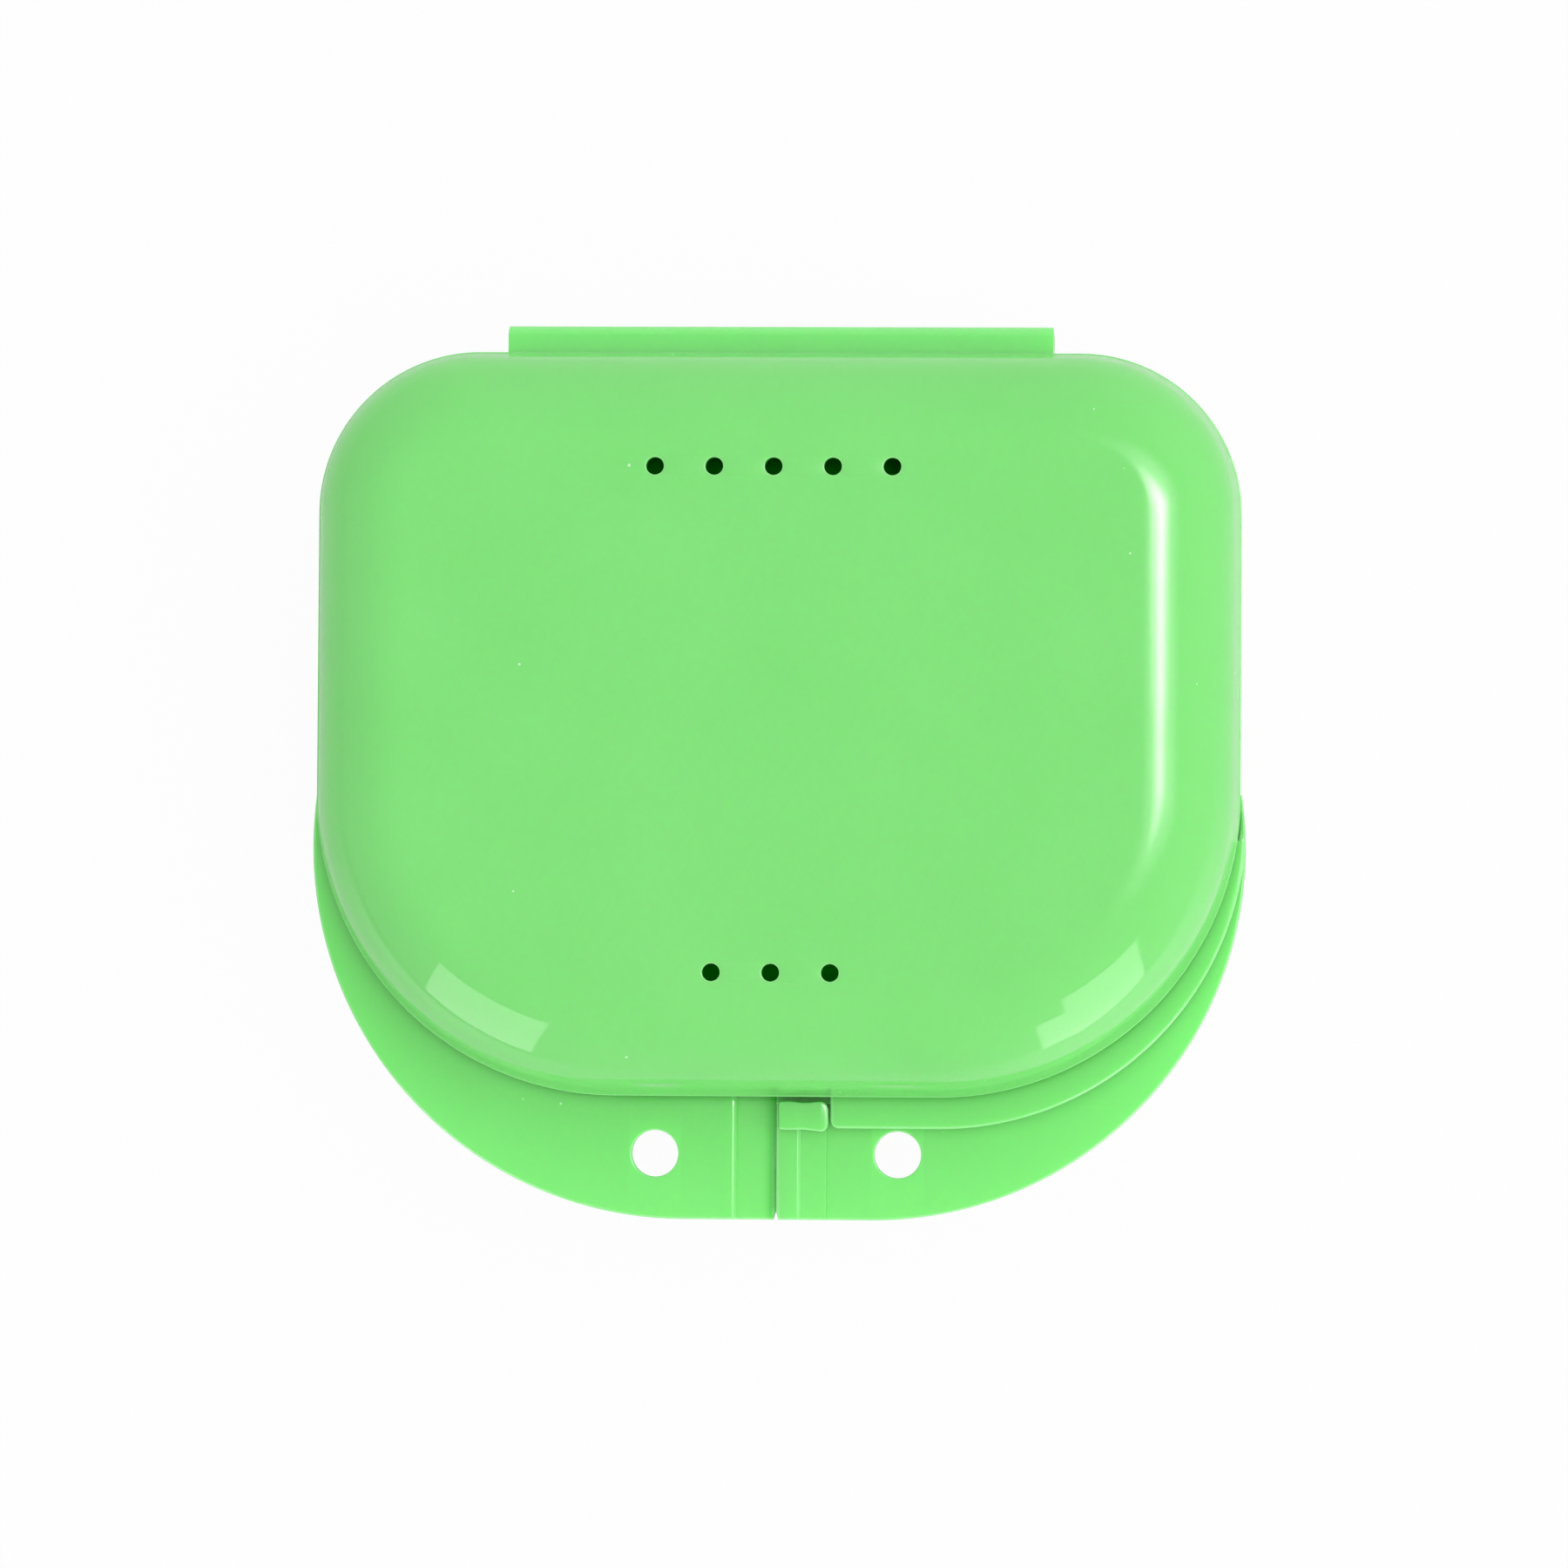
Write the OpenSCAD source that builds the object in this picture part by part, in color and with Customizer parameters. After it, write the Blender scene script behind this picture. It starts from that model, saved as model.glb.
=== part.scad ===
// Orthodontic retainer case: a clamshell of two matching halves on a folding strap.
// x runs across the front, y from the catches back to the hinge, and z up.
// The closed case stands on z = 0, and the origin is under the middle of its outline.
// Each half carries one pull flange and one catch. Turned over about y, one half gives the other.

/* [Case] */
// Width of the rim from side to side
rim_w = 79; // [72:0.5:92]
// Depth of the rim from the catches to the hinge
rim_d = 63.6; // [58:0.2:76]
// Height of the closed case
case_h = 27; // [24:0.5:36]
// Corner radius of the rim beside the hinge
rear_corner_r = 13.8; // [12:0.1:16]
// Corner radius of the rim beside the catches
front_corner_r = 25.7; // [22:0.1:29]
// Wall thickness of both halves
wall_t = 1.4; // [1:0.1:2]
// Draft angle of the walls
draft = 8; // [4:0.5:12]
// Outside radius that rolls a wall into its flat face
crown_r = 8; // [5:0.1:9]
// Height of the upright land at each rim
land_h = 2.7; // [2.5:0.1:4]
// Width of the ledge between the land and the wall
ledge_w = 0.1; // [0.05:0.05:1]
// Gap between the two rims of the closed case
seat_gap = 0.1; // [0.05:0.01:0.2]

/* [Flanges] */
// Thickness of a pull flange
flange_t = 1.4; // [1:0.1:1.8]
// Reach of the flanges in front of the rim
flange_reach = 10.55; // [9:0.05:14]
// Reach of the flanges past the sides of the rim
flange_side = 0.5; // [0.4:0.05:2]
// Radius of the rounded flanks of the flanges
flank_r = 31.9; // [28:0.1:36]
// Run of the flanges back along the sides from the front of the rim
flange_run = 26; // [20:0.5:28]
// Gap between the two flanges at the middle
split_gap = 0.2; // [0.1:0.05:0.6]
// Gap between a flange and the land of the other half
land_gap = 0.15; // [0.1:0.05:0.3]
// How far the loose half of a flange stops short of the tip
tip_relief = 2.5; // [2:0.1:5]
// Diameter of the key ring holes
ring_hole_d = 4; // [3:0.1:5]
// Distance between the two key ring holes
ring_hole_span = 20.8; // [16:0.1:30]
// Distance of the key ring holes from the front of the rim
ring_hole_reach = 4.95; // [4.9:0.05:6.5]

/* [Lips] */
// Thickness of the lip that covers the other half's flange
lip_t = 1.3; // [1:0.05:1.6]
// Reach of a lip in front of the rim
lip_reach = 2.7; // [2:0.05:2.8]
// Run of a lip back along the side from the front of the rim
lip_run = 22; // [12:0.5:22]
// Added corner radius of a lip over that of the rim
lip_corner_gain = 0.4; // [0.1:0.1:3]
// Gap between a lip and the flange that it covers
lip_gap = 0.1; // [0.05:0.01:0.2]

/* [Catches] */
// Width of a catch
catch_w = 4.25; // [3:0.05:6]
// Depth of a catch from nose to front
catch_d = 2.6; // [2.4:0.05:3.2]
// Gap between a catch and the middle plane
catch_offset = 0.25; // [0.15:0.05:0.6]
// Gap between a catch and the end of the lip beside it
catch_side_gap = 0.15; // [0.1:0.05:0.4]
// Gap between the nose of a catch and the land
nose_gap = 0.4; // [0.3:0.05:0.6]
// Thickness of the nose
nose_t = 0.65; // [0.5:0.05:0.9]
// Overlap of the nose on the keeper ledge
nose_hold = 0.25; // [0.1:0.05:0.3]
// Bevel that leads the keeper under the nose
nose_bevel = 0.25; // [0.1:0.05:0.4]
// Thickness of the keeper ledge
keeper_t = 0.5; // [0.4:0.05:0.8]
// Gap round the keeper ledge inside the catch
keeper_gap = 0.1; // [0.05:0.01:0.2]
// Radius of the root edge that a catch bends about
root_r = 0.25; // [0.15:0.05:0.3]
// Gap under a catch
root_gap = 0.05; // [0.03:0.01:0.1]
// Width of the raised pad that carries a catch
pad_w = 4.3; // [3:0.05:4.5]
// Height of the pad over the flange
pad_t = 0.15; // [0.1:0.05:0.3]
// Width of the thinned strip behind the pad
strip_w = 3.65; // [2.5:0.05:4]
// Depth of the thinned strip and of the ramp beside it
strip_d = 0.25; // [0.1:0.05:0.4]

/* [Hinge] */
// Width of the folding strap
strap_w = 46.8; // [30:0.2:50]
// Thickness of the strap
strap_t = 0.8; // [0.6:0.05:1]
// Distance of the two fold lines behind the rim
fold_reach = 1.95; // [1.6:0.05:2.6]
// Distance between the two fold lines
fold_span = 3.2; // [2.4:0.1:4]
// Gap between the strap and its leaves along a fold
fold_gap = 0.05; // [0.03:0.01:0.1]
// How much shorter the strap is than its leaves at each end
strap_inset = 0.15; // [0.05:0.05:0.5]

/* [Vents] */
// Diameter of a vent
vent_d = 1.5; // [1:0.1:2.5]
// Distance between neighbouring vents
vent_pitch = 5; // [3.5:0.1:7]
// Distance of both vent rows from the rim
vent_inset = 10.5; // [10:0.1:16]
// Vents in the row beside the hinge
rear_vents = 5; // [1:1:6]
// Vents in the row beside the catches
front_vents = 3; // [1:1:4]

/* [Hidden] */
$fn = 96;
plastic = [0.30, 0.84, 0.28];
plastic_shade = [0.24, 0.74, 0.23];

// Overlap of joined shapes, and of cutting tools past the faces that they cut
cut = 1;

// The parting plane is z = 0 inside the half modules, and half the case height in the whole case
half_h = case_h / 2;
knuckle_r = strap_t / 2;
case_d = flange_reach + rim_d + fold_reach + knuckle_r;

// Outline of the rim
rim_hw = rim_w / 2;
flange_front = -case_d / 2;
rim_front = flange_front + flange_reach;
rim_rear = rim_front + rim_d;
rear_cx = rim_hw - rear_corner_r;
rear_cy = rim_rear - rear_corner_r;
front_cx = rim_hw - front_corner_r;
front_cy = rim_front + front_corner_r;

// Outline of the flanges
flange_hw = rim_hw + flange_side;
flank_cx = flange_hw - flank_r;
flank_cy = flange_front + flank_r;
flange_back = rim_front + flange_run;

// Levels above the parting plane
land_z = seat_gap / 2;
dome_z = max(land_z, land_h - ledge_w / tan(draft) / 2);
flange_z = flange_t / 2;
lip_z = flange_z + lip_gap;
pad_z = flange_z + pad_t;
catch_z = pad_z + root_gap;
keeper_z = pad_z + keeper_gap;
nose_z = keeper_z + keeper_t + keeper_gap;
catch_top = nose_z + nose_t;
fold_z = fold_span / 2;
fold_y = rim_rear + fold_reach;

// Places of the catch and its keeper, measured along y
nose_y = rim_front - nose_gap;
keeper_y = nose_y - nose_hold;
post_y = keeper_y - keeper_gap;
catch_y = nose_y - catch_d;
notch_w = catch_offset + catch_w + catch_side_gap;

// Rounded outline with one radius for the front corners and one for the rear corners
module outline(hw, front, rear, front_r, rear_r) {
    polygon([
        [-hw, front + front_r], [-hw, rear - rear_r], [-hw + rear_r, rear], [hw - rear_r, rear],
        [hw, rear - rear_r], [hw, front + front_r], [hw - front_r, front], [-hw + front_r, front]
    ]);
    for (side = [-1, 1]) {
        translate([side * (hw - front_r), front + front_r]) circle(front_r);
        translate([side * (hw - rear_r), rear - rear_r]) circle(rear_r);
    }
}

// Rim outline, grown outward by a margin
module rim(margin = 0) {
    outline(rim_hw + margin, rim_front - margin, rim_rear + margin,
        front_corner_r + margin, rear_corner_r + margin);
}

// Section of a domed body: its flat part from the axis of a corner, and its edge drawn from the rim
module dome_section(corner_r, inset, top, roll_r, bottom) {
    roll_z = top - roll_r;
    roll_x = -inset - (roll_z - land_h) * tan(draft) - roll_r / cos(draft);
    foot_x = -inset + (land_h - bottom) * tan(draft);
    translate([0, bottom]) square([corner_r + roll_x, top - bottom]);
    translate([corner_r, 0]) {
        polygon([
            [roll_x - cut, bottom], [foot_x, bottom],
            [roll_x + roll_r * cos(draft), roll_z + roll_r * sin(draft)],
            [roll_x, roll_z], [roll_x, top], [roll_x - cut, top]
        ]);
        translate([roll_x, roll_z]) intersection() {
            circle(roll_r);
            square(roll_r);
        }
    }
}

// Domed body over the rim outline: four turned corners, four straight sides and a middle block
module dome(inset, top, roll_r, bottom) {
    for (side = [0, 1]) mirror([side, 0, 0]) {
        translate([rear_cx, rear_cy, 0]) rotate_extrude(angle = 90)
            dome_section(rear_corner_r, inset, top, roll_r, bottom);
        translate([front_cx, front_cy, 0]) rotate([0, 0, 270]) rotate_extrude(angle = 90)
            dome_section(front_corner_r, inset, top, roll_r, bottom);
        translate([rear_cx, rear_cy, 0]) rotate([90, 0, 0]) linear_extrude(rear_cy - front_cy)
            dome_section(rear_corner_r, inset, top, roll_r, bottom);
    }
    translate([-rear_cx, rear_cy, 0]) rotate([90, 0, 90]) linear_extrude(2 * rear_cx)
        dome_section(rear_corner_r, inset, top, roll_r, bottom);
    translate([-front_cx, front_cy, 0]) mirror([0, 1, 0]) rotate([90, 0, 90])
        linear_extrude(2 * front_cx) dome_section(front_corner_r, inset, top, roll_r, bottom);
    translate([-rear_cx, front_cy, bottom]) cube([2 * rear_cx, rear_cy - front_cy, top - bottom]);
}

// Lip on the right of a half, over the other half's flange, up to the notch for its catch
module lip() {
    translate([0, 0, lip_z]) linear_extrude(lip_t) difference() {
        outline(flange_hw, rim_front - lip_reach, rim_rear,
            front_corner_r + lip_corner_gain, rear_corner_r);
        rim();
        translate([-rim_hw - cut, rim_front - lip_reach - cut])
            square([rim_hw + notch_w + cut, rim_d + lip_reach + 2 * cut]);
        translate([0, rim_front + lip_run]) square([flange_hw + cut, rim_d]);
    }
}

// Keeper ledge in the notch, which the other half's catch holds
module keeper() {
    translate([split_gap / 2, keeper_y, keeper_z])
        cube([notch_w - split_gap / 2, rim_front - keeper_y, keeper_t]);
}

// Hollow half of the case, open at the parting plane
module half_shell() {
    difference() {
        union() {
            dome(ledge_w, half_h, crown_r, dome_z);
            translate([0, 0, land_z]) linear_extrude(land_h - land_z) rim();
            lip();
            keeper();
        }
        dome(ledge_w + wall_t / cos(draft), half_h - wall_t, crown_r - wall_t, -cut);
    }
}

// Outline of the left flange, clear of a rim grown by a margin
module flange_outline(margin, back) {
    difference() {
        intersection() {
            union() {
                for (side = [-1, 1]) translate([side * flank_cx, flank_cy]) circle(flank_r);
                translate([-flank_cx, flange_front]) square([2 * flank_cx, flank_r]);
            }
            translate([-flange_hw - cut, flange_front - cut])
                square([flange_hw + cut - split_gap / 2, back - flange_front + cut]);
        }
        rim(margin);
    }
}

// Left flange of a half: its near side joins its own land and its far side clears the other land
module half_flange() {
    strip_x = -strip_w - strip_d;
    difference() {
        union() {
            translate([0, 0, land_z]) linear_extrude(flange_z - land_z)
                flange_outline(0, flange_back);
            translate([0, 0, -flange_z]) linear_extrude(flange_z + land_z)
                flange_outline(land_gap, flange_back - tip_relief);
            translate([0, 0, -pad_z]) linear_extrude(pad_t) intersection() {
                flange_outline(land_gap, rim_front);
                translate([-pad_w, flange_front]) square([pad_w, flange_reach]);
            }
        }
        translate([0, rim_front + cut, 0]) rotate([90, 0, 0]) linear_extrude(flange_reach + 2 * cut)
            polygon([
                [strip_x, flange_z], [-strip_w, flange_z - strip_d], [cut, flange_z - strip_d],
                [cut, flange_z + cut], [strip_x, flange_z + cut]
            ]);
        translate([-ring_hole_span / 2, rim_front - ring_hole_reach, -pad_z - cut])
            cylinder(d = ring_hole_d, h = 2 * (pad_z + cut));
    }
}

// Catch that hangs from the left flange of a half and holds the other half's keeper
module half_catch() {
    root_y = catch_y + root_r;
    root_z = catch_z + root_r;
    translate([-catch_offset - catch_w, 0, 0]) mirror([0, 0, 1]) rotate([90, 0, 90])
        linear_extrude(catch_w) {
            polygon([
                [root_y, catch_z], [post_y, catch_z], [post_y, nose_z], [nose_y, nose_z],
                [nose_y, catch_top - nose_bevel], [nose_y - nose_bevel, catch_top],
                [catch_y + nose_bevel, catch_top], [catch_y, catch_top - nose_bevel],
                [catch_y, root_z], [root_y, root_z]
            ]);
            translate([root_y, root_z]) circle(root_r);
        }
}

// Leaf that joins a half to the strap, hollowed along the fold so that the strap can turn in it
module half_leaf() {
    seat_r = knuckle_r + fold_gap;
    difference() {
        translate([-strap_w / 2, rim_rear, fold_z - knuckle_r]) cube([strap_w, fold_reach, strap_t]);
        translate([-strap_w / 2 - cut, fold_y, fold_z]) rotate([0, 90, 0])
            cylinder(r = seat_r, h = strap_w + 2 * cut);
        translate([-strap_w / 2 - cut, fold_y - seat_r, fold_z - strap_t])
            cube([strap_w + 2 * cut, strap_t, strap_t]);
    }
}

// Rows of vents through the flat face of the lid
module vents() {
    for (row = [[rear_vents, rim_rear - vent_inset], [front_vents, rim_front + vent_inset]])
        for (i = [0 : row[0] - 1])
            translate([(i - (row[0] - 1) / 2) * vent_pitch, row[1], half_h - wall_t - cut])
                cylinder(d = vent_d, h = wall_t + 2 * cut);
}

// The lid is a half on the parting plane, and the base is the same half turned over
module as_lid() { translate([0, 0, half_h]) children(); }
module as_base() { translate([0, 0, half_h]) rotate([0, 180, 0]) children(); }

module base_shell() { color(plastic) as_base() half_shell(); }
module base_flange() { color(plastic) as_base() half_flange(); }
module base_catch() { color(plastic_shade) as_base() half_catch(); }
module base_leaf() { color(plastic) as_base() half_leaf(); }
module lid_leaf() { color(plastic) as_lid() half_leaf(); }
module lid_flange() { color(plastic) as_lid() half_flange(); }
module lid_catch() { color(plastic_shade) as_lid() half_catch(); }

module lid_shell() {
    color(plastic) as_lid() difference() {
        half_shell();
        vents();
    }
}

// Middle of the hinge: it turns a quarter turn at each of its two round edges
module hinge_strap() {
    length = strap_w - 2 * strap_inset;
    color(plastic_shade) translate([-length / 2, fold_y, half_h]) rotate([90, 0, 90]) linear_extrude(length) {
        translate([-knuckle_r, -fold_z]) square([strap_t, fold_span]);
        for (side = [-1, 1]) translate([0, side * fold_z]) circle(knuckle_r);
    }
}

base_shell();
base_flange();
base_catch();
base_leaf();
hinge_strap();
lid_leaf();
lid_shell();
lid_flange();
lid_catch();
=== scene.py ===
"""Looks of the retainer case: two moulded halves on a folding strap, each with a snap catch."""
import math

import bmesh
import bpy
from mathutils import Matrix, Vector
from mathutils.geometry import tessellate_polygon


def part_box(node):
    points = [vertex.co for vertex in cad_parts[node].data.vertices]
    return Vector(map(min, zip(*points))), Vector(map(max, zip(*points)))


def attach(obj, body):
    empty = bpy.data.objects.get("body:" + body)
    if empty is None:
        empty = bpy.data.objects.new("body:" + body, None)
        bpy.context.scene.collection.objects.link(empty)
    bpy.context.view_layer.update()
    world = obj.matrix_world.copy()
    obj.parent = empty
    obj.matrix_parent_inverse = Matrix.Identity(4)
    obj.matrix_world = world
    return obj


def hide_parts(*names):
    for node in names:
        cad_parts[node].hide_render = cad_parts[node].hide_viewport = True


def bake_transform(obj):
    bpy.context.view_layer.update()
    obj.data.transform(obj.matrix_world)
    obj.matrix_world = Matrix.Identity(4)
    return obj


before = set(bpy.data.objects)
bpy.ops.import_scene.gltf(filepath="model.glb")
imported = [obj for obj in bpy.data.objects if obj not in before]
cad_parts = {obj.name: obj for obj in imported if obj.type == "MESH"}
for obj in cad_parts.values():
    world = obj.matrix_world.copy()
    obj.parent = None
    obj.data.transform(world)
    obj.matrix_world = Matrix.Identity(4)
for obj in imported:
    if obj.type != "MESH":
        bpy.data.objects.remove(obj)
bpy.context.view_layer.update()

# Scale of the mesh code, which is written in millimetres
MM = 0.001


def node_box(name):
    """Lowest and highest corner of a CAD node in millimetres."""
    low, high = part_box(name)
    return low / MM, high / MM


# Sizes that the frame gives, with heights measured from the parting plane
shell_low, shell_high = node_box("lid_shell")
flange_low, flange_high = node_box("lid_flange")
catch_low, catch_high = node_box("base_catch")
strap_high = node_box("hinge_strap")[1]
leaf_high = node_box("lid_leaf")[1]
HALF_H = shell_high.z / 2
RIM_HW = -shell_low.x
RIM_REAR = shell_high.y
FLANGE_FRONT = flange_low.y
FLANGE_HW = -flange_low.x
FLANGE_BACK = flange_high.y
FLANGE_Z = flange_high.z - HALF_H
PAD_Z = HALF_H - flange_low.z
LAND_Z = shell_low.z - HALF_H
CATCH_Z = catch_low.z - HALF_H
CATCH_TOP = catch_high.z - HALF_H
STRAP_HW = leaf_high.x
STRAP_REAR = strap_high.y
LEAF_TOP = leaf_high.z - HALF_H

# Shell of a half
RIM_D = 63.6
REAR_R = 13.8
FRONT_R = 25.7
WALL_T = 1.4
DRAFT = math.radians(8)
CROWN_R = 8.0
LAND_H = 2.7
LEDGE_W = 0.08
LAND_EDGE_R = 0.05
LAND_FOOT_R = 0.1
MOUTH_R = 0.25
RIM_FRONT = RIM_REAR - RIM_D
REAR_CX = RIM_HW - REAR_R
REAR_CY = RIM_REAR - REAR_R
FRONT_CX = RIM_HW - FRONT_R
FRONT_CY = RIM_FRONT + FRONT_R
ROLL_Z = HALF_H - CROWN_R

# Flange of a half
FLANK_R = 31.9
LAND_GAP = 0.15
SPLIT_HALF = 0.02
FLANGE_EDGE_R = 0.22
SPLIT_EDGE_R = 0.12
# Width of the band of painted shade beside the split, which also spaces the flange's edge points there
SPLIT_SHADE_W = 1.3
TIP_RELIEF = 2.5
STRIP_X = -3.87
STRIP_R = 0.7
STRIP_D = 0.25
PAD_X = -4.3
PAD_RAMP = 0.06
PAD_STEPS = 2
RIDGE_X = -1.95
RIDGE_RAMP = 0.24
RIDGE_STEPS = 4
RIDGE_T = 0.1
NOTCH_W = 0.2
NOTCH_D = 0.75
RING_HOLE_R = 2.0
RING_HOLE_X = -10.4
RING_HOLE_REACH = 4.95
HOLE_EDGE_R = 0.15
STRIP_RUN = math.sqrt(STRIP_R ** 2 - (STRIP_R - STRIP_D) ** 2)
FLANK_CX = FLANGE_HW - FLANK_R
FLANK_CY = FLANGE_FRONT + FLANK_R

# Lip and keeper of a half
LIP_T = 1.3
LIP_GAP = 0.1
LIP_REACH = 2.7
LIP_RUN = 22.0
LIP_CORNER_GAIN = 0.4
LIP_EDGE_R = 0.26
LIP_END_R = 0.75
LIP_END_X = 4.65
KEEPER_T = 0.3
KEEPER_GAP = 0.1
KEEPER_EDGE_R = 0.12
KEEPER_ROOT = 0.12
LIP_Z = FLANGE_Z + LIP_GAP
LIP_TOP = LIP_Z + LIP_T
LIP_R = FRONT_R + LIP_CORNER_GAIN
LIP_CX = FLANGE_HW - LIP_R
LIP_CY = RIM_FRONT - LIP_REACH + LIP_R

# Catch
CATCH_EDGE_R = 0.2
CATCH_CORNER_R = 0.7
CATCH_LUMP = 0.05
SIDE_LUMP_WAVE = 2.1
TOP_LUMP_WAVE = 3.3
CATCH_SKEW = 0.16
NOSE_T = 0.65
NOSE_HOLD = 0.25

# Folding strap
STRAP_T = 0.8
FOLD_INNER_R = 0.12
STRAP_EDGE_R = 0.07
STRAP_TAPER = 0.05
FOLD_Y = STRAP_REAR - STRAP_T / 2

# Vents and the marks that the ejector pins leave inside
VENT_R = 0.75
VENT_EDGE_R = 0.08
VENT_PITCH = 5.0
VENT_INSET = 10.5
VENT_ROWS = ((5, RIM_REAR - VENT_INSET), (3, RIM_FRONT + VENT_INSET))
PIN_R = 2.5
PIN_DEPTH = 0.06
PIN_X = 20.0
PIN_ROWS = (-8.0, 18.0)

# How far joined forms reach into the land, and the level of the flange's root
BITE = 0.5
ROOT_Z = 0.09

# Crease where a flange or lip meets the land
CREASE_W = 0.9
CREASE_D = 0.14

# Least step between faces that must not lie in one plane
HAIR = 0.001

# Largest share of a form's depth that a rounded edge takes
ROUND_SHARE = 0.45

# Counts of mesh steps
ROUND_STEPS = 5
ROLL_STEPS = 30
REAR_STEPS = 36
FRONT_STEPS = 54
SIDE_STEPS = 8
HOLE_STEPS = 48


def spread(start, stop, steps):
    """Evenly spaced values from start to stop, both included."""
    return [start + (stop - start) * i / steps for i in range(steps + 1)]


def arc(cx, cy, radius, start, stop, steps):
    """Points on an arc between two angles in degrees."""
    angles = [math.radians(a) for a in spread(start, stop, steps)]
    return [(cx + radius * math.cos(a), cy + radius * math.sin(a)) for a in angles]


def smooth_step(value, middle, width):
    """0 before a ramp, 1 after it, with a smooth rise in between."""
    t = min(max((value - middle) / width + 0.5, 0), 1)
    return t * t * (3 - 2 * t)


def edge_drop(distance, radius):
    """How far a rounded edge has dropped at a distance from the end of the form."""
    if distance >= radius:
        return 0
    return radius - math.sqrt(max(radius ** 2 - (radius - distance) ** 2, 0))


def beside_split(distance):
    """1 at the split, falling to 0 at the far side of the band of painted shade along it."""
    return max(0, 1 - abs(distance) / SPLIT_SHADE_W) ** 2


def rim_path(inset):
    """Points round the rim, moved inward by inset, anticlockwise from the right side."""
    corners = (
        (REAR_CX, REAR_CY, REAR_R, 0, REAR_STEPS),
        (-REAR_CX, REAR_CY, REAR_R, 90, REAR_STEPS),
        (-FRONT_CX, FRONT_CY, FRONT_R, 180, FRONT_STEPS),
        (FRONT_CX, FRONT_CY, FRONT_R, 270, FRONT_STEPS),
    )
    arcs = [arc(x, y, r - inset, a, a + 90, steps) for x, y, r, a, steps in corners]
    points = []
    for this, following in zip(arcs, arcs[1:] + arcs[:1]):
        points += this
        (x0, y0), (x1, y1) = this[-1], following[0]
        for t in spread(0, 1, SIDE_STEPS)[1:-1]:
            points.append((x0 + (x1 - x0) * t, y0 + (y1 - y0) * t))
    return points


def shell_profile():
    """Section of a half as (outward, height) pairs: down the outside, then up the inside."""
    lean = math.degrees(DRAFT)
    slope = math.tan(DRAFT)
    roll_out = -LEDGE_W - (ROLL_Z - LAND_H) * slope - CROWN_R / math.cos(DRAFT)
    mouth_z = LAND_Z + MOUTH_R
    touch_z = mouth_z - MOUTH_R * math.sin(DRAFT)
    mouth_out = MOUTH_R * math.cos(DRAFT) - LEDGE_W - WALL_T / math.cos(DRAFT)
    mouth_out += (LAND_H - touch_z) * slope
    points = arc(roll_out, ROLL_Z, CROWN_R, 90, lean, ROLL_STEPS) + [(-LEDGE_W, LAND_H)]
    points += arc(-LAND_EDGE_R, LAND_H - LAND_EDGE_R, LAND_EDGE_R, 90, 0, ROUND_STEPS)
    points += arc(-LAND_FOOT_R, LAND_Z + LAND_FOOT_R, LAND_FOOT_R, 0, -90, ROUND_STEPS)
    points += arc(mouth_out, mouth_z, MOUTH_R, -90, lean - 180, ROUND_STEPS)
    points += arc(roll_out, ROLL_Z, CROWN_R - WALL_T, lean, 90, ROLL_STEPS)
    return points


def add_ring(bm, points):
    """New vertices at the points, which are (x, y, z) in millimetres."""
    return [bm.verts.new(p) for p in points]


def skin(bm, rings):
    """Bands of quads that join each closed ring of vertices to the next."""
    for ring, following in zip(rings, rings[1:]):
        for i in range(len(ring)):
            bm.faces.new((ring[i - 1], ring[i], following[i], following[i - 1]))


def flat_face(bm, outer, holes):
    """Flat face that fills a ring of vertices round some holes."""
    rings = [outer] + holes
    verts = [v for ring in rings for v in ring]
    for triangle in tessellate_polygon([[v.co for v in ring] for ring in rings]):
        bm.faces.new([verts[i] for i in triangle])


def circle_ring(bm, x, y, z, radius):
    """Ring of vertices on a level circle."""
    points = arc(x, y, radius, 0, 360, HOLE_STEPS)[:-1]
    return add_ring(bm, [(px, py, z) for px, py in points])


def make_mesh(name, build):
    """New object whose mesh is drawn by build, in millimetres, with its faces turned outward."""
    bm = bmesh.new()
    build(bm)
    bmesh.ops.recalc_face_normals(bm, faces=bm.faces)
    mesh = bpy.data.meshes.new(name)
    bm.to_mesh(mesh)
    bm.free()
    obj = bpy.data.objects.new(name, mesh)
    bpy.context.scene.collection.objects.link(obj)
    return obj


def tube(bm, sections):
    """Closed form through a list of sections with equal counts of points, capped at both ends."""
    rings = [add_ring(bm, section) for section in sections]
    skin(bm, rings)
    bm.faces.new(rings[0])
    bm.faces.new(rings[-1])


def vent_places():
    """Middles of the vents."""
    return [((i - (count - 1) / 2) * VENT_PITCH, y) for count, y in VENT_ROWS for i in range(count)]


def shell(bm, vented):
    """Hollow half with its land, wall, rolled crown, vents and pin marks."""
    rings = [add_ring(bm, [(x, y, z) for x, y in rim_path(-out)]) for out, z in shell_profile()]
    skin(bm, rings)
    ceiling = HALF_H - WALL_T
    outside, inside = [], []
    for x, y in vent_places() if vented else []:
        levels = arc(VENT_R + VENT_EDGE_R, HALF_H - VENT_EDGE_R, VENT_EDGE_R, 90, 180, ROUND_STEPS)
        levels += [(r, HALF_H + ceiling - z) for r, z in reversed(levels)]
        hole = [circle_ring(bm, x, y, z, r) for r, z in levels]
        skin(bm, hole)
        outside.append(hole[0])
        inside.append(hole[-1])
    for x in (-PIN_X, PIN_X):
        for y in PIN_ROWS:
            mark = [circle_ring(bm, x, y, ceiling + d, PIN_R) for d in (0, PIN_DEPTH)]
            skin(bm, mark)
            bm.faces.new(mark[1])
            inside.append(mark[0])
    flat_face(bm, rings[0], outside)
    flat_face(bm, rings[-1], inside)


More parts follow.
